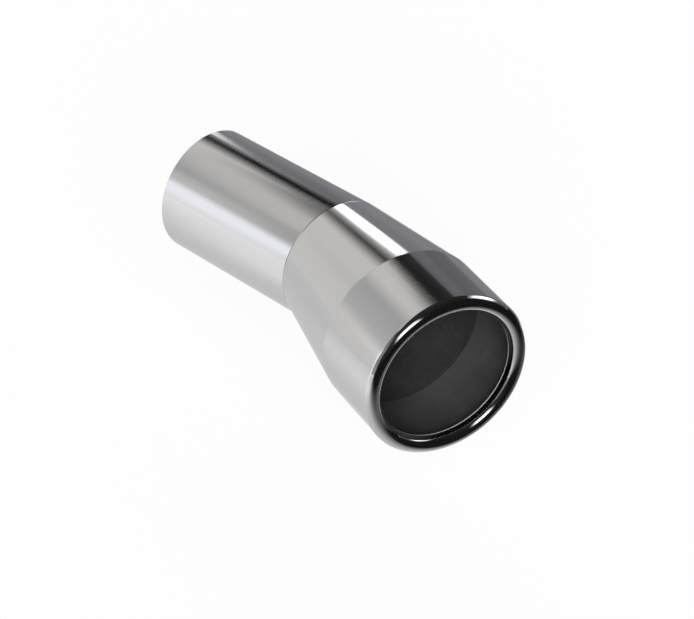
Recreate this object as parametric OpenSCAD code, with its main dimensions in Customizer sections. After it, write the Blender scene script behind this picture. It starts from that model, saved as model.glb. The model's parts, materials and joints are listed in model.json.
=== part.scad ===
// Exhaust tip: a straight inlet tube, mitred into a flared round outlet with a rolled-in lip.
// The frame starts at the centre of the inlet's open end. +X runs along the tube, and the
// outlet turns away from it towards -Y, with the bend level and +Z up.

/* [Inlet tube] */
// Bore of the inlet, which slides over a 60 mm tailpipe
inlet_bore_d = 61.5; // [50:0.5:76]
// Length of the tube's centre line, from the open end to the bend
inlet_l = 92.5; // [50:0.5:180]
// Edge break at the open end, inside and outside
edge_break = 0.3; // [0.1:0.1:0.4]

/* [Sheet] */
// Thickness of the sheet, in the tube and in the outlet alike
wall = 1.5; // [1:0.1:2]

/* [Bend and flare] */
// Angle between the tube and the outlet
bend_angle = 17; // [5:1:30]
// Length of the flare's centre line, from the bend to the crease
flare_l = 64.4; // [35:0.1:120]

/* [Outlet] */
// Outer diameter of the outlet
outlet_d = 84; // [72:1:115]
// Length of the straight outlet, from the crease to the middle of the lip's roll
outlet_l = 39.8; // [20:0.1:90]
// Outer radius of the bend at the crease between flare and outlet
crease_r = 8; // [4:0.5:15]

/* [Lip] */
// Outer radius of the lip's roll
lip_r = 3.9; // [2.5:0.1:6]
// How far the lip's edge runs back inside, from the middle of the roll
lip_return_l = 2.5; // [1.5:0.1:8]

/* [Hidden] */
$fn = 180;

tube_r = inlet_bore_d / 2 + wall;
outlet_r = outlet_d / 2;
// Angle between the flare's wall and its centre line
flare_angle = atan((outlet_r - tube_r) / flare_l);

// The mitre plane is tilted so that the tube's cut end and the flare's are the same ellipse
flare_mitre = atan(sin(bend_angle) / (cos(bend_angle) + 1 / cos(flare_angle)));
tube_mitre = bend_angle - flare_mitre;

// Radius of the flare where its centre line meets the mitre plane
flare_r = tube_r * cos(flare_mitre) / cos(tube_mitre);
// A slanted cut through a cone is centred off the cone's axis, so the axis moves over by this
flare_shift = flare_r * tan(flare_angle) * tan(flare_mitre);
// Places along the flare's axis: where its cone meets the outlet, where the crease's
// bend ends, and the middle of the lip's roll
corner_s = (outlet_r - flare_r) / tan(flare_angle);
crease_s = corner_s + crease_r * tan(flare_angle / 2);
lip_s = corner_s + outlet_l;

// Shapes that are cut away run past the part by this much
over = 20;
cutter = 3 * outlet_d;

// Everything on one side of the mitre plane: side is 1 beyond it, -1 before it
module mitre_side(side) {
    translate([inlet_l, 0, 0])
        rotate([0, 0, -tube_mitre])
            translate([side * cutter / 2, 0, 0])
                cube(cutter, center = true);
}

// Half section of the tube: radius against length
module tube_section() {
    length = inlet_l + over;
    bore_r = inlet_bore_d / 2;
    polygon([
        [bore_r + edge_break, 0],
        [tube_r - edge_break, 0],
        [tube_r, edge_break],
        [tube_r, length],
        [bore_r, length],
        [bore_r, edge_break]
    ]);
}

// Solid half section of flare and outlet, with its faces moved in by inset, up to the length top
module shell_blank(inset, top) {
    r_start = flare_r - inset / cos(flare_angle) - over * tan(flare_angle);
    turn = [outlet_r - crease_r, crease_s];
    reach = crease_r - inset;
    polygon([
        [0, -over],
        [r_start, -over],
        turn + reach * [cos(flare_angle), -sin(flare_angle)],
        turn,
        [0, crease_s]
    ]);
    translate(turn)
        circle(reach);
    translate([0, crease_s])
        square([outlet_r - inset, top - crease_s]);
}

// Solid section of the lip's roll, with its faces moved in by inset and its legs down to the length bottom
module roll_blank(inset, bottom) {
    translate([outlet_r - lip_r, lip_s])
        circle(lip_r - inset);
    translate([outlet_r - 2 * lip_r + inset, bottom])
        square([2 * (lip_r - inset), lip_s - bottom]);
}

// Half section of the lip: a roll, its return inside, and the return's rounded edge
module lip_section() {
    edge_s = lip_s - lip_return_l + wall / 2;
    difference() {
        roll_blank(0, edge_s);
        roll_blank(wall, edge_s - over);
    }
    translate([outlet_r - 2 * lip_r + wall / 2, edge_s])
        circle(wall / 2);
}

// Half section of the whole shell
module shell_section() {
    difference() {
        shell_blank(0, lip_s);
        shell_blank(wall, lip_s + over);
    }
    lip_section();
}

// Straight tube, cut square at its open end and mitred at the bend
module inlet_tube() {
    color("silver")
        difference() {
            rotate([0, 90, 0])
                rotate_extrude()
                    tube_section();
            mitre_side(1);
        }
}

// Spun shell: flare, crease, straight outlet and rolled-in lip
module outlet_shell() {
    color("gainsboro")
        difference() {
            translate([inlet_l, 0, 0])
                rotate([0, 0, -bend_angle])
                    translate([0, flare_shift, 0])
                        rotate([0, 90, 0])
                            rotate_extrude()
                                shell_section();
            mitre_side(-1);
        }
}

inlet_tube();
outlet_shell();
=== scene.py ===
import json
import math

import bpy
import numpy as np
from bpy.props import (
    BoolProperty, FloatProperty, FloatVectorProperty, IntProperty, PointerProperty,
)
from mathutils import Matrix, Vector


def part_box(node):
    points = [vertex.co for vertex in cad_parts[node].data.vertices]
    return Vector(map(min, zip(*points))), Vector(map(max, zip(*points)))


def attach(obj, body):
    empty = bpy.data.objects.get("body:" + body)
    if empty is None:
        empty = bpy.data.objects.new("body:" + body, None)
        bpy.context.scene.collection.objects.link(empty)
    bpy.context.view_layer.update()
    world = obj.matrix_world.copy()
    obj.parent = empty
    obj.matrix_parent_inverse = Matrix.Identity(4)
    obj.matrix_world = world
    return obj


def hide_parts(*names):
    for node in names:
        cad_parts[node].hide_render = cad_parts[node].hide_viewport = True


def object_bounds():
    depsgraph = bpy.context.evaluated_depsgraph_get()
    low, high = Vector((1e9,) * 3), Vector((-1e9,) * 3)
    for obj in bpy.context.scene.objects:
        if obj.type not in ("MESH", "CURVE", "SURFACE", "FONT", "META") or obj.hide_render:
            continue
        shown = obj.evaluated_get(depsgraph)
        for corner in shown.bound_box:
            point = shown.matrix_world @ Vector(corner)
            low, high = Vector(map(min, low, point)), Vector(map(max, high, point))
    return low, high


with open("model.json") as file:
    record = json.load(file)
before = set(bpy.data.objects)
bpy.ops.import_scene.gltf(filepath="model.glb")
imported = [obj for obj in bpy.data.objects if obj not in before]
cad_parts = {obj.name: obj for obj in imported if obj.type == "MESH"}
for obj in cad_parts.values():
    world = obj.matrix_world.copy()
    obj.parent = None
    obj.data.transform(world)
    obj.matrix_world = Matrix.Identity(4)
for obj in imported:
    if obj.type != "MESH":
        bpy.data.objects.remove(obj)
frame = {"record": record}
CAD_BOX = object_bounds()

bl_info = {
    "name": "Exhaust Tip",
    "version": (1, 0, 0),
    "blender": (4, 5, 0),
    "location": "View3D > Sidebar > Exhaust Tip",
    "description": "Builds a polished, angled exhaust tip with a rolled-in lip, and a small studio",
    "category": "Object",
}

MM = 0.001

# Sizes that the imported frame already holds
BORE_R = frame["record"]["mounts"][0]["dims"]["r_mm"] * MM
TUBE_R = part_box("inlet_tube")[1].z
OUTLET_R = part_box("outlet_shell")[1].z


def linear(code):
    """Turns an sRGB hex colour such as #C0C0C0 into three linear values."""
    channels = [int(code[i:i + 2], 16) / 255 for i in (1, 3, 5)]
    return tuple(
        c / 12.92 if c <= 0.04045 else ((c + 0.055) / 1.055) ** 2.4 for c in channels
    )


# Settings


class ExhaustTipSizes(bpy.types.PropertyGroup):
    """Sizes of the tip, as in its construction"""

    inlet_length: FloatProperty(
        name="Inlet Length", description="Centre line of the tube, from its open end to the bend",
        default=92.5 * MM, min=0.05, unit="LENGTH")
    edge_break: FloatProperty(
        name="Edge Break", description="Edge break at the tube's open end",
        default=0.3 * MM, min=0.0001, unit="LENGTH")
    wall: FloatProperty(
        name="Wall", description="Thickness of the sheet",
        default=TUBE_R - BORE_R, min=0.0005, unit="LENGTH")
    bend: FloatProperty(
        name="Bend", description="Angle between the tube and the outlet",
        default=math.radians(17), min=0.05, subtype="ANGLE")
    flare_length: FloatProperty(
        name="Flare Length", description="Centre line of the flare, from the bend to the crease",
        default=64.4 * MM, min=0.02, unit="LENGTH")
    outlet_length: FloatProperty(
        name="Outlet Length", description="From the crease to the middle of the lip's roll",
        default=39.8 * MM, min=0.01, unit="LENGTH")
    crease_radius: FloatProperty(
        name="Crease Radius", description="Outer radius of the bend between flare and outlet",
        default=8 * MM, min=0.003, unit="LENGTH")
    lip_radius: FloatProperty(
        name="Lip Radius", description="Outer radius of the lip's roll",
        default=3.9 * MM, min=0.0025, unit="LENGTH")
    lip_return: FloatProperty(
        name="Lip Return", description="How far the lip's edge runs back inside",
        default=2.5 * MM, min=0.001, unit="LENGTH")
    weld_round: FloatProperty(
        name="Weld Rounding", description="Radius of the dressed edges that meet at the weld",
        default=0.22 * MM, min=0.00005, unit="LENGTH")
    coat: FloatProperty(
        name="Coat", description="Thickness of the dark coat inside",
        default=0.05 * MM, min=0.00001, unit="LENGTH")
    steps_round: IntProperty(
        name="Steps Round", description="Number of steps round the axis", default=384, min=48)


class ExhaustTipFinishes(bpy.types.PropertyGroup):
    """Colours and gloss of the tip"""

    steel: FloatVectorProperty(
        name="Steel", description="Colour of the polished stainless steel",
        subtype="COLOR", size=3, min=0, max=1, default=linear("#DADADB"))
    steel_roughness: FloatProperty(
        name="Steel Roughness", description="Roughness of the polish", default=0.09,
        min=0, max=1, subtype="FACTOR")
    cut_roughness: FloatProperty(
        name="Cut Roughness", description="Roughness of the sheet's cut edge inside the lip",
        default=0.45, min=0, max=1, subtype="FACTOR")
    coat: FloatVectorProperty(
        name="Coat", description="Colour of the high-temperature coat inside",
        subtype="COLOR", size=3, min=0, max=1, default=linear("#444444"))
    # Painted shade: the share of the coat's colour that is left where the painted shade is fullest
    coat_painted_shade: FloatProperty(
        name="Coat Painted Shade", description="Shade of the coat where it is darkest, as a share of its colour",
        default=0.45, min=0, max=1, subtype="FACTOR")
    coat_roughness: FloatProperty(
        name="Coat Roughness", description="Roughness of the coat", default=0.55,
        min=0, max=1, subtype="FACTOR")


class ExhaustTipStudio(bpy.types.PropertyGroup):
    """The studio round the tip"""

    floor_drop: FloatProperty(
        name="Floor Drop", description="How far the floor lies under the tip, which its mount holds up",
        default=0.12, min=0, unit="LENGTH")
    floor_size: FloatProperty(
        name="Floor Size", description="Side of the floor", default=30.0, min=1, unit="LENGTH")
    lens: FloatProperty(
        name="Lens", description="Focal length of the camera, in millimetres, on a 36 mm wide image",
        default=118.5, min=10)
    hide_cards: BoolProperty(
        name="Hide Cards", description="Keep the cards out of the camera's own view", default=True)


# Shapes

# Points on the half section's stretches: straight ones first, then arcs of a quarter turn or less
TUBE_POINTS, FLARE_POINTS, OUTLET_POINTS, RETURN_POINTS, FACE_POINTS = 26, 30, 14, 4, 2
EDGE_POINTS, CREASE_POINTS = 5, 9
# Points on the half turns of the lip, outside and inside, and of the sheet's edge in it
LIP_POINTS, LIP_INSIDE_POINTS, LIP_EDGE_POINTS = 49, 25, 13


class Tip:
    """Directions and lengths that follow from the sizes. The tube runs along X. The mitre plane is
    tilted so that the tube's cut end and the flare's are one and the same ellipse."""

    def __init__(self, sizes):
        self.sizes = sizes
        self.tube_axis = np.array([1.0, 0, 0])
        self.tube_side = np.array([0, 1.0, 0])
        self.up = np.array([0, 0, 1.0])
        bend = sizes.bend
        self.shell_axis = np.array([math.cos(bend), -math.sin(bend), 0])
        self.shell_side = np.array([math.sin(bend), math.cos(bend), 0])
        self.flare = math.atan((OUTLET_R - TUBE_R) / sizes.flare_length)
        self.shell_mitre = math.atan(
            math.sin(bend) / (math.cos(bend) + 1 / math.cos(self.flare)))
        self.tube_mitre = bend - self.shell_mitre
        self.flare_r = TUBE_R * math.cos(self.shell_mitre) / math.cos(self.tube_mitre)
        self.shift = self.flare_r * math.tan(self.flare) * math.tan(self.shell_mitre)
        self.bend_point = np.array([sizes.inlet_length, 0, 0])
        self.shell_start = self.bend_point + self.shift * self.shell_side
        # Places along the shell's axis: the corner between flare and outlet, where the crease's
        # bend ends, and the middle of the lip's roll
        corner = (OUTLET_R - self.flare_r) / math.tan(self.flare)
        self.crease_s = corner + sizes.crease_radius * math.tan(self.flare / 2)
        self.lip_s = corner + sizes.outlet_length
        self.mitre_normal = np.array(
            [math.cos(self.tube_mitre), -math.sin(self.tube_mitre), 0])


def arc(centre, radius, start, end, count, hollow=False):
    """Points and normals on a circle in the half section: centre plus radius times (sin, cos) of an
    angle that runs from start to end. Angle 0 points away from the axis, and 90 degrees along it.
    Normals point away from the centre, or towards it if the side is hollow."""
    angle = np.linspace(start, end, count)
    ray = np.stack([np.sin(angle), np.cos(angle)], 1)
    return np.array(centre) + radius * ray, -ray if hollow else ray


def line(start, end, normal, count):
    """Points on a straight stretch of the half section, evenly spaced, all with one normal."""
    share = np.linspace(0, 1, count)[:, None]
    points = (1 - share) * np.array(start) + share * np.array(end)
    return points, np.repeat(np.array([normal], float), count, axis=0)


def lean(stretch, slope):
    """Tips a stretch along a cone: the radius grows by slope times the place along the axis."""
    points, normals = stretch
    points = points + np.stack([0 * points[:, 0], slope * points[:, 0]], 1)
    normals = normals - np.stack([slope * normals[:, 1], 0 * normals[:, 0]], 1)
    return points, normals / np.linalg.norm(normals, axis=1, keepdims=True)


def joined(stretches, marks):
    """Joins stretches that meet end to end into one closed loop, without their shared points, and
    gives each point the mark of its stretch."""
    points = np.concatenate([p[:-1] for p, _ in stretches])
    normals = np.concatenate([n[:-1] for _, n in stretches])
    mark = np.concatenate([np.full(len(p) - 1, m, float) for (p, _), m in zip(stretches, marks)])
    return points, normals, mark


def ring_mesh(name, points, normals, marks):
    """Makes a closed ring of quads from a grid of points: the first index runs round the axis, the
    second round the closed half section. Both wrap, so there is no seam and no pole. The normals
    are those of the surface itself, so reflections stay smooth across the facets. Each mark holds
    one value for each point of the half section and becomes an attribute for the finishes."""
    rounds, steps = points.shape[:2]
    i, j = np.meshgrid(np.arange(rounds), np.arange(steps), indexing="ij")
    i2, j2 = (i + 1) % rounds, (j + 1) % steps
    quads = np.stack([i * steps + j, i2 * steps + j, i2 * steps + j2, i * steps + j2], -1)
    quads = quads.reshape(-1, 4)
    mesh = bpy.data.meshes.new(name)
    mesh.vertices.add(rounds * steps)
    mesh.vertices.foreach_set("co", points.reshape(-1).astype(np.float32))
    mesh.loops.add(quads.size)
    mesh.loops.foreach_set("vertex_index", quads.reshape(-1).astype(np.int32))
    mesh.polygons.add(len(quads))
    mesh.polygons.foreach_set("loop_start", np.arange(0, quads.size, 4, dtype=np.int32))
    mesh.update(calc_edges=True)
    mesh.validate()
    mesh.shade_smooth()
    for key, values in marks.items():
        layer = mesh.attributes.new(key, "FLOAT", "POINT")
        layer.data.foreach_set("value", np.tile(values, rounds).astype(np.float32))
    mesh.normals_split_custom_set_from_vertices(
        normals.reshape(-1, 3).astype(np.float32).tolist())
    return mesh


def add_piece(name, mesh, material, node=None):
    """Links a piece, gives it its material, rides it on the one body and hides the
    CAD node it stands for, if it stands for one."""
    piece = bpy.data.objects.new(name, mesh)
    bpy.context.scene.collection.objects.link(piece)
    mesh.materials.append(material)
    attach(piece, "root")
    if node:
        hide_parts(node)
    return piece


def revolve(tip, section, slope, far, near, axis, side, origin):
    """Turns a half section round an axis and slants its end to the mitre. A point of the section at
    (s, r) lies at origin + s axis + r (cos a side + sin a up). From near to the end, each point
    slides along its own straight generator, until it is as far along it from the mitre plane as it
    was along the axis from the bend. Its radius changes by its slope times that slide, so it stays
    on its cylinder or cone. A point at far stays where it is, and those in between share the slide
    out evenly."""
    points, flat, _ = section
    angle = np.linspace(0, 2 * math.pi, tip.sizes.steps_round, endpoint=False)
    radial = (np.cos(angle)[:, None] * side + np.sin(angle)[:, None] * tip.up)[:, None, :]
    s, r, slope = points[None, :, 0], points[None, :, 1], slope[None, :]
    gap = tip.bend_point - origin
    plane = tip.mitre_normal
    along = axis @ plane + slope * (radial @ plane)
    to_plane = (gap @ plane - (r - slope * s) * (radial @ plane)) / along
    slide = np.clip((s - far) / (near - far), 0, 1) * (to_plane - gap @ axis)
    grid = origin + (s + slide)[..., None] * axis + (r + slope * slide)[..., None] * radial
    normals = flat[None, :, :1] * axis + flat[None, :, 1:] * radial
    return grid, normals


def tube_section(tip, outer, inner, start, edge, weld):
    """Closed half section of the tube between two radii, from start to the bend, outside first. The
    edges are rounded by edge at the open end and by weld at the bend."""
    end = tip.sizes.inlet_length
    quarter = math.pi / 2
    stretches = [
        line((start + edge, outer), (end - weld, outer), (0, 1), TUBE_POINTS),
        arc((end - weld, outer - weld), weld, 0, quarter, EDGE_POINTS),
        line((end, outer - weld), (end, inner + weld), (1, 0), FACE_POINTS),
        arc((end - weld, inner + weld), weld, quarter, 2 * quarter, EDGE_POINTS),
        line((end - weld, inner), (start + edge, inner), (0, -1), TUBE_POINTS),
        arc((start + edge, inner + edge), edge, 2 * quarter, 3 * quarter, EDGE_POINTS),
        line((start, inner + edge), (start, outer - edge), (-1, 0), FACE_POINTS),
        arc((start + edge, outer - edge), edge, 3 * quarter, 4 * quarter, EDGE_POINTS),
    ]
    return joined(stretches, [0] * len(stretches))


def tube_grid(tip, section):
    """Turns the tube's half section round its own axis. The half of it nearer the bend slides."""
    length = tip.sizes.inlet_length
    slopes = np.zeros(len(section[0]))
    return revolve(tip, section, slopes, length / 2, length - tip.sizes.weld_round,
                   tip.tube_axis, tip.tube_side, np.zeros(3))


def shell_section(tip, outside, inside, weld, lip):
    """Closed half section of flare, crease and outlet between two depths under the outer face,
    outside first, and the slope of each of its points. With lip, it has the rolled-in lip at its
    far end, marked 1 along the cut edge of the sheet."""
    sizes = tip.sizes
    quarter = math.pi / 2
    slope = math.tan(tip.flare)
    outer = tip.flare_r - outside / math.cos(tip.flare)
    inner = tip.flare_r - inside / math.cos(tip.flare)
    bend = (tip.crease_s, OUTLET_R - sizes.crease_radius)
    bend_out, bend_in = sizes.crease_radius - outside, sizes.crease_radius - inside
    tangent_out = tip.crease_s - bend_out * math.sin(tip.flare)
    tangent_in = tip.crease_s - bend_in * math.sin(tip.flare)
    out_r, in_r = OUTLET_R - outside, OUTLET_R - inside
    cone = [
        lean(line((weld, outer), (tangent_out, outer), (0, 1), FLARE_POINTS), slope),
    ]
    far = [
        arc(bend, bend_out, -tip.flare, 0, CREASE_POINTS),
        line((tip.crease_s, out_r), (tip.lip_s, out_r), (0, 1), OUTLET_POINTS),
    ]
    far_marks = [0, 0]
    if lip:
        roll = (tip.lip_s, OUTLET_R - sizes.lip_radius)
        return_r = OUTLET_R - 2 * sizes.lip_radius
        inside_r = return_r + sizes.wall
        edge = (tip.lip_s - sizes.lip_return + sizes.wall / 2, return_r + sizes.wall / 2)
        far += [
            arc(roll, sizes.lip_radius, 0, 2 * quarter, LIP_POINTS),
            line((tip.lip_s, return_r), (edge[0], return_r), (0, -1), RETURN_POINTS),
            arc(edge, sizes.wall / 2, 2 * quarter, 4 * quarter, LIP_EDGE_POINTS),
            line((edge[0], inside_r), (tip.lip_s, inside_r), (0, 1), RETURN_POINTS),
            arc(roll, sizes.lip_radius - sizes.wall, 2 * quarter, 0, LIP_INSIDE_POINTS, hollow=True),
        ]
        far_marks += [0, 0, 1, 0, 0]
    else:
        far += [line((tip.lip_s, out_r), (tip.lip_s, in_r), (1, 0), FACE_POINTS)]
        far_marks += [0]
    far += [
        line((tip.lip_s, in_r), (tip.crease_s, in_r), (0, -1), OUTLET_POINTS),
        arc(bend, bend_in, 0, -tip.flare, CREASE_POINTS, hollow=True),
    ]
    far_marks += [0, 0]
    cone_back = [
        lean(line((tangent_in, inner), (weld, inner), (0, -1), FLARE_POINTS), slope),
        lean(arc((weld, inner + weld), weld, 2 * quarter, 3 * quarter, EDGE_POINTS), slope),
        lean(line((0, inner + weld), (0, outer - weld), (-1, 0), FACE_POINTS), slope),
        lean(arc((weld, outer - weld), weld, 3 * quarter, 4 * quarter, EDGE_POINTS), slope),
    ]
    stretches = cone + far + cone_back
    slopes = joined(stretches, [slope] + [0] * len(far) + [slope] * len(cone_back))[2]
    return joined(stretches, [0] + far_marks + [0] * len(cone_back)), slopes


def shell_grid(tip, section, slopes):
    """Turns the shell's half section round its own axis. The flare slides, as far as the crease."""
    far = tip.crease_s - tip.sizes.crease_radius * math.sin(tip.flare)
    return revolve(tip, section, slopes, far, tip.sizes.weld_round,
                   tip.shell_axis, tip.shell_side, tip.shell_start)


class EXHAUSTTIP_OT_inlet_tube(bpy.types.Operator):
    """Straight inlet tube: a sheet cylinder, mitred at the bend, its open end's edges broken"""

    bl_idname = "exhausttip.inlet_tube"
    bl_label = "Inlet Tube"

    def execute(self, context):
        sizes = context.scene.exhausttip_sizes
        tip = Tip(sizes)
        section = tube_section(tip, TUBE_R, BORE_R, 0.0, sizes.edge_break, sizes.weld_round)
        mesh = ring_mesh("inlet_tube_sheet", *tube_grid(tip, section), {"cut_edge": section[2]})
        steel = polished_steel("polished stainless steel, tube", tip.tube_axis, np.zeros(3))
        add_piece("inlet_tube_sheet", mesh, steel, "inlet_tube")
        return {"FINISHED"}


class EXHAUSTTIP_OT_outlet_shell(bpy.types.Operator):
    """Spun outlet shell: flare, soft crease, straight outlet and a lip rolled in to run back inside"""

    bl_idname = "exhausttip.outlet_shell"
    bl_label = "Outlet Shell"

    def execute(self, context):
        sizes = context.scene.exhausttip_sizes
        tip = Tip(sizes)
        section, slopes = shell_section(tip, 0.0, sizes.wall, sizes.weld_round, True)
        mesh = ring_mesh(
            "outlet_shell_sheet", *shell_grid(tip, section, slopes), {"cut_edge": section[2]})
        steel = polished_steel("polished stainless steel, shell", tip.shell_axis, tip.shell_start)
        add_piece("outlet_shell_sheet", mesh, steel, "outlet_shell")
        return {"FINISHED"}


# Painted shade in the coat, from 0, its own colour, to 1, its darkest: in the tube, in the flare at the
# bend and at the crease, and in the outlet at the lip. It starts again from 0 at the outlet's side
# of the crease, so that the crease shows as a clear line inside the mouth.
PAINTED_SHADE_TUBE, PAINTED_SHADE_BEND, PAINTED_SHADE_CREASE, PAINTED_SHADE_LIP = 0.6, 0.6, 1.0, 0.85


class EXHAUSTTIP_OT_inside_coat(bpy.types.Operator):
    """Dark high-temperature coat: a thin closed skin on the inside of the tube and of the shell"""

    bl_idname = "exhausttip.inside_coat"
    bl_label = "Inside Coat"

    def execute(self, context):
        sizes = context.scene.exhausttip_sizes
        tip = Tip(sizes)
        # The skin reaches into the sheet by half the coat's thickness, so that no gap shows
        bite = sizes.coat / 2
        rounding = sizes.coat / 4
        section = tube_section(
            tip, BORE_R + bite, BORE_R - sizes.coat, 2 * sizes.edge_break, rounding, rounding)
        coat = dark_coat("matt high-temperature coat", tip.shell_axis, tip.shell_start)
        # Painted shade in the tube's coat, the same all along it
        deep = np.full(len(section[0]), PAINTED_SHADE_TUBE)
        mesh = ring_mesh("inlet_tube_coat", *tube_grid(tip, section), {"deep": deep})
        add_piece("inlet_tube_coat", mesh, coat)
        section, slopes = shell_section(
            tip, sizes.wall - bite, sizes.wall + sizes.coat, rounding, False)
        # Painted shade in the shell's coat: fullest just past the crease in the flare, less towards the
        # bend, and none at the crease on the outlet's side, growing towards the lip
        past_crease = section[0][:, 0] - tip.crease_s
        deep = np.where(
            past_crease < 0,
            PAINTED_SHADE_CREASE + (PAINTED_SHADE_CREASE - PAINTED_SHADE_BEND) * past_crease / sizes.flare_length,
            PAINTED_SHADE_LIP * past_crease / sizes.outlet_length)
        mesh = ring_mesh("outlet_shell_coat", *shell_grid(tip, section, slopes), {"deep": deep})
        add_piece("outlet_shell_coat", mesh, coat)
        return {"FINISHED"}


# Finishes


def add_node(tree, kind, inputs=None, **settings):
    """Adds a node. settings are its own attributes; inputs maps a socket's name or number to a
    value, or to another node's output, which is then linked."""
    node = tree.nodes.new(kind)
    for key, value in settings.items():
        setattr(node, key, value)
    for key, value in (inputs or {}).items():
        if isinstance(value, bpy.types.NodeSocket):
            tree.links.new(value, node.inputs[key])
        else:
            node.inputs[key].default_value = value
    return node


def new_material(name):
    """Makes an empty node material."""
    material = bpy.data.materials.new(name)
    material.use_nodes = True
    material.node_tree.nodes.clear()
    return material, material.node_tree


def spin_coordinates(tree, axis, origin):
    """Object coordinates moved to an origin and turned so that X runs along the axis."""
    coords = add_node(tree, "ShaderNodeTexCoord").outputs["Object"]
    moved = add_node(
        tree, "ShaderNodeVectorMath", {0: coords, 1: tuple(origin)}, operation="SUBTRACT")
    turned = add_node(
        tree, "ShaderNodeMapping",
        {"Vector": moved.outputs["Vector"], "Rotation": (0, 0, -math.atan2(axis[1], axis[0]))})
    return turned.outputs["Vector"]


def spun_lines(tree, coords, pitch, length, detail):
    """Noise drawn out round the axis: pitch is its grain along the axis and length the run of one
    line round it, both in metres."""
    drawn = add_node(
        tree, "ShaderNodeMapping",
        {"Vector": coords, "Scale": (1 / pitch, 1 / length, 1 / length)})
    return add_node(
        tree, "ShaderNodeTexNoise",
        {"Vector": drawn.outputs["Vector"], "Scale": 1.0, "Detail": detail,
         "Roughness": 0.6}).outputs["Fac"]


def polished_steel(name, axis, origin):
    """Stainless steel, drawn or spun and then buffed to a mirror: it shows the room, slightly
    softened, with hair-fine buffing lines round the axis and faint cloudy patches where the wheel
    pressed harder. The sheet's cut edge was never buffed: it is dull and catches light from all
    sides, so it reads as a thin grey ring inside the mouth."""
    finishes = bpy.context.scene.exhausttip_finishes
    material, tree = new_material(name)
    coords = spin_coordinates(tree, axis, origin)
    # Buffing lines 0.35 mm apart and 60 mm long
    lines = spun_lines(tree, coords, 0.35 * MM, 60 * MM, 3.0)
    # Clouds of 25 mm where the wheel pressed harder
    clouds = add_node(
        tree, "ShaderNodeTexNoise",
        {"Vector": coords, "Scale": 1 / (25 * MM), "Detail": 2.0, "Roughness": 0.5}).outputs["Fac"]
    blend = add_node(tree, "ShaderNodeMath", {0: lines, 1: clouds}, operation="MULTIPLY")
    gloss = add_node(
        tree, "ShaderNodeMapRange",
        {"Value": blend.outputs["Value"], "From Min": 0.1, "From Max": 0.45,
         "To Min": finishes.steel_roughness * 0.7, "To Max": finishes.steel_roughness * 1.4})
    cut = add_node(tree, "ShaderNodeAttribute", attribute_name="cut_edge").outputs["Fac"]
    roughness = add_node(
        tree, "ShaderNodeMix",
        {"Factor": cut, "A": gloss.outputs["Result"], "B": finishes.cut_roughness})
    metallic = add_node(
        tree, "ShaderNodeMapRange", {"Value": cut, "To Min": 1.0, "To Max": 0.3})
    bump = add_node(
        tree, "ShaderNodeBump", {"Height": lines, "Strength": 0.02, "Distance": 0.01 * MM})
    shader = add_node(
        tree, "ShaderNodeBsdfPrincipled",
        {"Base Color": (*finishes.steel, 1), "Metallic": metallic.outputs["Result"],
         "Roughness": roughness.outputs["Result"], "Normal": bump.outputs["Normal"]})
    add_node(tree, "ShaderNodeOutputMaterial", {"Surface": shader.outputs["BSDF"]})
    return material


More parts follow.
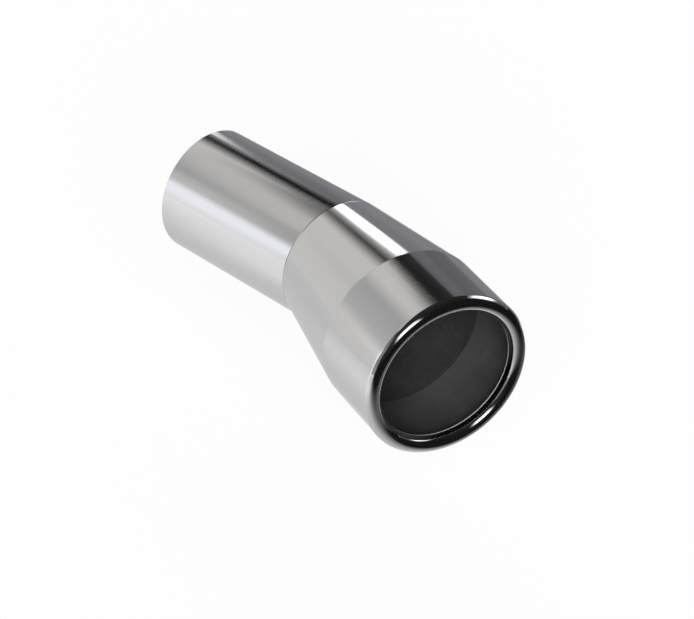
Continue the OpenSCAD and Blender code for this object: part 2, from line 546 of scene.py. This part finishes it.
def dark_coat(name, axis, origin):
    """Sprayed silicone enamel, baked on: near-black and dull, with the fine grain of overspray, the
    spinning lines of the sheet showing through, slightly paler rubbed patches and faint scuffs. A
    painted shade, carried by a per-point attribute, darkens it beyond the crease and towards the lip."""
    finishes = bpy.context.scene.exhausttip_finishes
    material, tree = new_material(name)
    coords = spin_coordinates(tree, axis, origin)
    # Overspray grain of 0.5 mm
    grain = add_node(
        tree, "ShaderNodeTexNoise",
        {"Vector": coords, "Scale": 1 / (0.5 * MM), "Detail": 2.0, "Roughness": 0.6}).outputs["Fac"]
    # Spinning lines 0.9 mm apart and 25 mm long
    lines = spun_lines(tree, coords, 0.9 * MM, 25 * MM, 3.0)
    # Rubbed patches of 15 mm
    patches = add_node(
        tree, "ShaderNodeTexNoise",
        {"Vector": coords, "Scale": 1 / (15 * MM), "Detail": 4.0, "Roughness": 0.6}).outputs["Fac"]
    paler = add_node(
        tree, "ShaderNodeMapRange",
        {"Value": patches, "From Min": 0.3, "From Max": 0.7, "To Min": 0.85, "To Max": 1.15})
    # Painted shade from the attribute, which takes the coat's colour down towards the share set in the
    # finishes
    deep = add_node(tree, "ShaderNodeAttribute", attribute_name="deep").outputs["Fac"]
    painted_darkening = add_node(
        tree, "ShaderNodeMapRange", {"Value": deep, "To Min": 1.0, "To Max": finishes.coat_painted_shade})
    streaks = add_node(
        tree, "ShaderNodeMapRange",
        {"Value": lines, "From Min": 0.3, "From Max": 0.7, "To Min": 0.88, "To Max": 1.12})
    # Scuffs along the axis, 15 mm long and 0.8 mm apart, coarser than real so that they show,
    # and stronger where the painted shade is greater
    along = add_node(
        tree, "ShaderNodeMapping",
        {"Vector": coords, "Scale": (1 / (15 * MM), 1 / (0.8 * MM), 1 / (0.8 * MM))})
    marks = add_node(
        tree, "ShaderNodeTexNoise",
        {"Vector": along.outputs["Vector"], "Scale": 1.0, "Detail": 1.0}).outputs["Fac"]
    scuffs = add_node(
        tree, "ShaderNodeMapRange",
        {"Value": marks, "From Min": 0.58, "From Max": 0.75, "To Min": 0.0, "To Max": 0.5})
    scuffed = add_node(
        tree, "ShaderNodeMath",
        {0: scuffs.outputs["Result"], 1: deep, 2: streaks.outputs["Result"]},
        operation="MULTIPLY_ADD")
    worn = add_node(
        tree, "ShaderNodeMath", {0: paler.outputs["Result"], 1: scuffed.outputs["Value"]},
        operation="MULTIPLY")
    # The coat's own wear and grain, times the painted shade
    shade = add_node(
        tree, "ShaderNodeMath", {0: worn.outputs["Value"], 1: painted_darkening.outputs["Result"]},
        operation="MULTIPLY")
    colour = add_node(
        tree, "ShaderNodeVectorMath",
        {0: tuple(finishes.coat), "Scale": shade.outputs["Value"]}, operation="SCALE")
    gloss = add_node(
        tree, "ShaderNodeMapRange",
        {"Value": grain, "From Min": 0.3, "From Max": 0.7,
         "To Min": finishes.coat_roughness - 0.08, "To Max": finishes.coat_roughness + 0.1})
    # The spinning lines stand one and a half times as high as the grain
    height = add_node(
        tree, "ShaderNodeMath", {0: lines, 1: 1.5, 2: grain}, operation="MULTIPLY_ADD")
    bump = add_node(
        tree, "ShaderNodeBump",
        {"Height": height.outputs["Value"], "Strength": 0.3, "Distance": 0.06 * MM})
    shader = add_node(
        tree, "ShaderNodeBsdfPrincipled",
        {"Base Color": colour.outputs["Vector"], "Roughness": gloss.outputs["Result"],
         "Normal": bump.outputs["Normal"]})
    add_node(tree, "ShaderNodeOutputMaterial", {"Surface": shader.outputs["BSDF"]})
    return material


# Studio

# Middle of the tip, which the studio is laid out round
MIDDLE = (Vector(CAD_BOX[0]) + Vector(CAD_BOX[1])) / 2

# Tints of the cards
NEUTRAL, COOL, WARM = "#FFFFFF", "#F8F9FF", "#FFFDF9"

# Strength of the world's light on the tip, and of the white that the camera and reflections see
WORLD_LIGHT, WHITE = 0.25, 1.0
# Share of that white in the floor; the rest is matt, and takes the shadow
FLOOR_WHITE_SHARE = 0.9

# Soft lamps: the way out to each, its spread in degrees and its strength
LAMPS = (
    ("key", (0.64, -0.60, 0.48), 32, 4.1),
    ("fill", (-0.1, 0.1, 1.0), 50, 0.5),
)

# The photograph's view: where the camera stands, in metres, and the azimuth and elevation in degrees
# of the way back from the tip to it. This azimuth runs from -Y towards +X. The camera isn't rolled.
# Its place, and the lens in the settings, come from a camera fit to the outline, and were rounded.
CAMERA_PLACE = (0.7472, -0.6480, 0.6225)
CAMERA_AZIMUTH, CAMERA_ELEVATION = 45, 35.264
# Width of the camera's image in millimetres, which its lens goes with, and how far it sees in metres
IMAGE_WIDTH, CAMERA_REACH = 36, 100

# Cards that the polish reflects, each named for its job: how it is set up and where, its turn in
# degrees, its width, height and soft edge in metres, its tint, and how strongly its lower and its
# upper end glow. Only reflections see them: no card lights the tip or shows in the picture.
# The values come from a least-squares fit of the mirrored light to the photograph, and were then
# rounded. floor_glow, black_bar, strip_light and window_light were tuned after that.
#   "hung": azimuth and elevation from the tip's middle, in degrees, and distance; it faces the tip
#   "upright": azimuth, distance and height of its middle over the tip's; it faces the tip level
#   "level": x and y from the tip's middle, and height over the floor; it lies flat
CARDS = (
    ("ceiling", "level", (1.7, 0.0, 2.05), 20, 12.0, 6.2, 0.5, WARM, 0.0, 0.03),
    ("front_drape", "upright", (5, 2.4, 1.1), 0, 9.0, 3.8, 0.25, NEUTRAL, 0.015, 0.005),
    ("side_drape", "upright", (-65, 2.4, 1.1), 0, 2.4, 3.2, 0.3, NEUTRAL, 0.01, 0.05),
    ("front_cloth", "level", (1.55, -0.4, 0.007), 0, 7.0, 3.0, 0.3, NEUTRAL, 0.005, 0.01),
    ("grey_strip", "level", (0.26, 0.29, 0.008), -15, 0.55, 0.12, 0.06, NEUTRAL, 0.08, 0.07),
    ("near_glow", "level", (0.07, 0.24, 0.006), -10, 0.55, 0.26, 0.1, NEUTRAL, 1.4, 1.1),
    ("back_cloth", "level", (-0.4, 2.45, 0.005), -20, 3.9, 3.6, 0.1, COOL, 0.25, 0.3),
    ("right_wall", "upright", (90, 2.6, 0.85), 20, 3.6, 4.0, 0.45, COOL, 0.2, 0.08),
    ("side_wall", "upright", (-110, 2.0, 0.95), 20, 1.9, 3.8, 0.5, NEUTRAL, 0.4, 0.05),
    ("back_wall", "upright", (125, 3.1, 0.65), 0, 3.3, 5.2, 1.4, COOL, 0.4, 0.07),
    ("left_wall", "upright", (-175, 2.3, 1.8), -15, 5.0, 7.0, 0.6, WARM, 0.8, 0.55),
    ("floor_grey", "level", (-1.25, -0.22, 0.003), 10, 3.0, 4.8, 0.4, NEUTRAL, 0.6, 0.8),
    ("floor_glow", "level", (-1.05, -1.15, 0.004), 40, 0.85, 3.0, 0.3, NEUTRAL, 0.95, 1.1),
    ("black_bar", "hung", (140, 36, 2.5), 20, 0.85, 1.0, 0.4, NEUTRAL, 0.02, 0.01),
    ("dark_post", "hung", (150, 30, 1.4), 0, 0.6, 0.8, 0.35, NEUTRAL, 0.02, 0.02),
    ("strip_light", "hung", (139, 19, 2.8), -15, 0.5, 0.65, 0.15, NEUTRAL, 4.0, 1.2),
    ("window_light", "hung", (-130, 12, 2.1), 20, 1.8, 0.95, 0.4, COOL, 1.25, 1.2),
    ("left_panel", "hung", (-160, 30, 1.8), -10, 1.4, 1.2, 0.4, NEUTRAL, 0.6, 0.4),
    ("left_warm", "hung", (165, 42, 2.3), 0, 0.9, 0.5, 0.2, WARM, 0.3, 0.9),
    ("softbox_right", "hung", (77, 27, 1.7), -10, 1.3, 1.1, 0.45, NEUTRAL, 3.0, 2.5),
    ("softbox_front", "hung", (-42, 36, 1.65), 40, 0.95, 1.2, 0.3, NEUTRAL, 3.3, 0.45),
)


def card_place(setting, where, floor_z):
    """Middle of a card and the way from the tip that it is turned to, as azimuth and elevation in
    degrees. Azimuth runs from +X towards +Y. A place at azimuth a, elevation e and distance d is the
    tip's middle plus d (cos a cos e, sin a cos e, sin e)."""
    if setting == "level":
        return Vector((MIDDLE.x + where[0], MIDDLE.y + where[1], floor_z + where[2])), 0, 90
    azimuth = math.radians(where[0])
    outward = Vector((math.cos(azimuth), math.sin(azimuth), 0))
    if setting == "upright":
        return MIDDLE + where[1] * outward + Vector((0, 0, where[2])), where[0], 0
    elevation = math.radians(where[1])
    rise = Vector((0, 0, math.sin(elevation)))
    return MIDDLE + where[2] * (math.cos(elevation) * outward + rise), where[0], where[1]


def card_mesh(name, centre, azimuth, elevation, turn, width, height):
    """A flat sheet: its middle plus u across and v upwards, where u and v run over half its width
    and height, with both as its UV map."""
    a, e = math.radians(azimuth), math.radians(elevation)
    away = Vector((math.cos(a) * math.cos(e), math.sin(a) * math.cos(e), math.sin(e)))
    across = Vector((-math.sin(a), math.cos(a), 0))
    upward = away.cross(across)
    spin = Matrix.Rotation(math.radians(turn), 3, away)
    across, upward = spin @ across * width / 2, spin @ upward * height / 2
    corners = [
        Vector(centre) + u * across + v * upward
        for u, v in ((-1, -1), (-1, 1), (1, 1), (1, -1))
    ]
    mesh = bpy.data.meshes.new(name)
    mesh.from_pydata([tuple(c) for c in corners], [], [(0, 1, 2, 3)])
    uv = mesh.uv_layers.new(name="UVMap")
    uv.data.foreach_set("uv", [0, 0, 0, 1, 1, 1, 1, 0])
    return mesh


def card_material(name, width, height, soft, tint, low, high):
    """Card or softbox front: a glow, even or graded from low to high, that fades out over its soft
    edge, as cloth and diffusers do."""
    material, tree = new_material(name)
    uv = add_node(tree, "ShaderNodeTexCoord").outputs["UV"]
    split = add_node(tree, "ShaderNodeSeparateXYZ", {"Vector": uv})

    def fade(axis, extent):
        """1 in the middle, falling to 0 at both ends of one side over the soft edge."""
        value = split.outputs[axis]
        other = add_node(tree, "ShaderNodeMath", {0: 1.0, 1: value}, operation="SUBTRACT")
        nearest = add_node(
            tree, "ShaderNodeMath", {0: value, 1: other.outputs[0]}, operation="MINIMUM")
        return add_node(
            tree, "ShaderNodeMapRange",
            {"Value": nearest.outputs[0], "From Min": 0.0, "From Max": soft / extent,
             "To Min": 0.0, "To Max": 1.0}, interpolation_type="SMOOTHSTEP").outputs["Result"]

    mask = add_node(
        tree, "ShaderNodeMath", {0: fade("X", width), 1: fade("Y", height)}, operation="MULTIPLY")
    strength = add_node(
        tree, "ShaderNodeMapRange",
        {"Value": split.outputs["Y"], "To Min": low, "To Max": high})
    glow = add_node(
        tree, "ShaderNodeEmission",
        {"Color": (*linear(tint), 1), "Strength": strength.outputs["Result"]})
    clear = add_node(tree, "ShaderNodeBsdfTransparent")
    front = add_node(
        tree, "ShaderNodeMixShader",
        {0: mask.outputs[0], 1: clear.outputs[0], 2: glow.outputs[0]})
    add_node(tree, "ShaderNodeOutputMaterial", {"Surface": front.outputs[0]})
    return material


def background_rays(tree):
    """1 for rays that see the background itself: from the camera, by reflection or through glass."""
    path = add_node(tree, "ShaderNodeLightPath").outputs
    either = add_node(
        tree, "ShaderNodeMath",
        {0: path["Is Camera Ray"], 1: path["Is Glossy Ray"]}, operation="MAXIMUM")
    return add_node(
        tree, "ShaderNodeMath",
        {0: either.outputs[0], 1: path["Is Transmission Ray"]}, operation="MAXIMUM").outputs[0]


class EXHAUSTTIP_OT_studio(bpy.types.Operator):
    """Pale floor, soft lamps, reflection cards and the camera"""

    bl_idname = "exhausttip.studio"
    bl_label = "Studio"

    def execute(self, context):
        scene = context.scene
        studio = scene.exhausttip_studio
        floor_z = -OUTLET_R - studio.floor_drop
        self.floor(scene, studio.floor_size / 2, floor_z)
        for name, setting, where, turn, width, height, soft, tint, low, high in CARDS:
            place = card_place(setting, where, floor_z)
            card = bpy.data.objects.new(name, card_mesh(name, *place, turn, width, height))
            card.data.materials.append(
                card_material(name, width, height, soft, tint, low, high))
            scene.collection.objects.link(card)
            card.visible_camera = not studio.hide_cards
            card.visible_diffuse = False
            card.visible_shadow = False
        self.world(scene)
        self.lamps(scene)
        self.camera(scene, studio)
        scene.view_settings.view_transform = "Standard"
        return {"FINISHED"}

    def floor(self, scene, half, z):
        """A pale floor that looks white to the camera and in reflections and keeps the tip's shadow."""
        mesh = bpy.data.meshes.new("floor")
        mesh.from_pydata(
            [(-half, -half, z), (half, -half, z), (half, half, z), (-half, half, z)],
            [], [(0, 1, 2, 3)])
        floor = bpy.data.objects.new("floor", mesh)
        scene.collection.objects.link(floor)
        material, tree = new_material("pale studio floor")
        matt = add_node(tree, "ShaderNodeBsdfDiffuse", {"Color": (*linear("#F2F2F2"), 1)})
        white = add_node(tree, "ShaderNodeEmission", {"Color": (1, 1, 1, 1), "Strength": WHITE})
        share = add_node(
            tree, "ShaderNodeMath", {0: background_rays(tree), 1: FLOOR_WHITE_SHARE},
            operation="MULTIPLY")
        both = add_node(
            tree, "ShaderNodeMixShader",
            {0: share.outputs[0], 1: matt.outputs[0], 2: white.outputs[0]})
        add_node(tree, "ShaderNodeOutputMaterial", {"Surface": both.outputs[0]})
        mesh.materials.append(material)

    def world(self, scene):
        """White where it is seen, and a weak even light on the tip."""
        world = bpy.data.worlds.new("studio")
        world.use_nodes = True
        tree = world.node_tree
        tree.nodes.clear()
        soft = add_node(
            tree, "ShaderNodeBackground", {"Color": (1, 1, 1, 1), "Strength": WORLD_LIGHT})
        white = add_node(
            tree, "ShaderNodeBackground", {"Color": (1, 1, 1, 1), "Strength": WHITE})
        both = add_node(
            tree, "ShaderNodeMixShader",
            {0: background_rays(tree), 1: soft.outputs[0], 2: white.outputs[0]})
        add_node(tree, "ShaderNodeOutputWorld", {"Surface": both.outputs[0]})
        scene.world = world

    def lamps(self, scene):
        """A soft key from behind the camera, which reaches into the mouth, and a softer fill from
        above. Both are suns, so they light the floor evenly. The polish doesn't mirror them."""
        for name, direction, spread, strength in LAMPS:
            lamp = bpy.data.lights.new(name, "SUN")
            lamp.angle = math.radians(spread)
            lamp.energy = strength
            obj = bpy.data.objects.new(name, lamp)
            scene.collection.objects.link(obj)
            obj.rotation_euler = Vector(direction).to_track_quat("Z", "Y").to_euler()
            obj.visible_glossy = False

    def camera(self, scene, studio):
        """The camera, with its axes worked out from its azimuth and elevation."""
        camera = bpy.data.cameras.new("camera")
        camera.sensor_fit = "HORIZONTAL"
        camera.sensor_width = IMAGE_WIDTH
        camera.lens = studio.lens
        camera.clip_end = CAMERA_REACH
        obj = bpy.data.objects.new("camera", camera)
        scene.collection.objects.link(obj)
        a, e = math.radians(CAMERA_AZIMUTH), math.radians(CAMERA_ELEVATION)
        right = Vector((math.cos(a), math.sin(a), 0))
        back = Vector((math.sin(a) * math.cos(e), -math.cos(a) * math.cos(e), math.sin(e)))
        upward = back.cross(right)
        pose = Matrix((right, upward, back)).transposed().to_4x4()
        pose.translation = Vector(CAMERA_PLACE)
        obj.matrix_world = pose
        scene.camera = obj


class EXHAUSTTIP_PT_panel(bpy.types.Panel):
    """Lists the settings and the operators in the 3D view's sidebar"""

    bl_idname = "EXHAUSTTIP_PT_panel"
    bl_label = "Exhaust Tip"
    bl_space_type = "VIEW_3D"
    bl_region_type = "UI"
    bl_category = "Exhaust Tip"

    def draw(self, context):
        layout = self.layout
        for heading, group in (
            ("Sizes", context.scene.exhausttip_sizes),
            ("Finishes", context.scene.exhausttip_finishes),
            ("Studio", context.scene.exhausttip_studio),
        ):
            box = layout.box()
            box.label(text=heading)
            for key in group.bl_rna.properties.keys():
                if key not in ("rna_type", "name"):
                    box.prop(group, key)
        for operator in OPERATORS:
            layout.operator(operator.bl_idname)


GROUPS = (ExhaustTipSizes, ExhaustTipFinishes, ExhaustTipStudio)
OPERATORS = (
    EXHAUSTTIP_OT_inlet_tube, EXHAUSTTIP_OT_outlet_shell,
    EXHAUSTTIP_OT_inside_coat, EXHAUSTTIP_OT_studio,
)
CLASSES = (*GROUPS, *OPERATORS, EXHAUSTTIP_PT_panel)


def register():
    """Registers the classes and gives the scene its three groups of settings."""
    for cls in CLASSES:
        bpy.utils.register_class(cls)
    bpy.types.Scene.exhausttip_sizes = PointerProperty(type=ExhaustTipSizes)
    bpy.types.Scene.exhausttip_finishes = PointerProperty(type=ExhaustTipFinishes)
    bpy.types.Scene.exhausttip_studio = PointerProperty(type=ExhaustTipStudio)


def unregister():
    """Takes the settings and the classes out again."""
    del bpy.types.Scene.exhausttip_studio
    del bpy.types.Scene.exhausttip_finishes
    del bpy.types.Scene.exhausttip_sizes
    for cls in reversed(CLASSES):
        bpy.utils.unregister_class(cls)


def main():
    """Builds the tip and its studio."""
    register()
    bpy.ops.exhausttip.inlet_tube()
    bpy.ops.exhausttip.outlet_shell()
    bpy.ops.exhausttip.inside_coat()
    bpy.ops.exhausttip.studio()


if __name__ == "__main__":
    main()
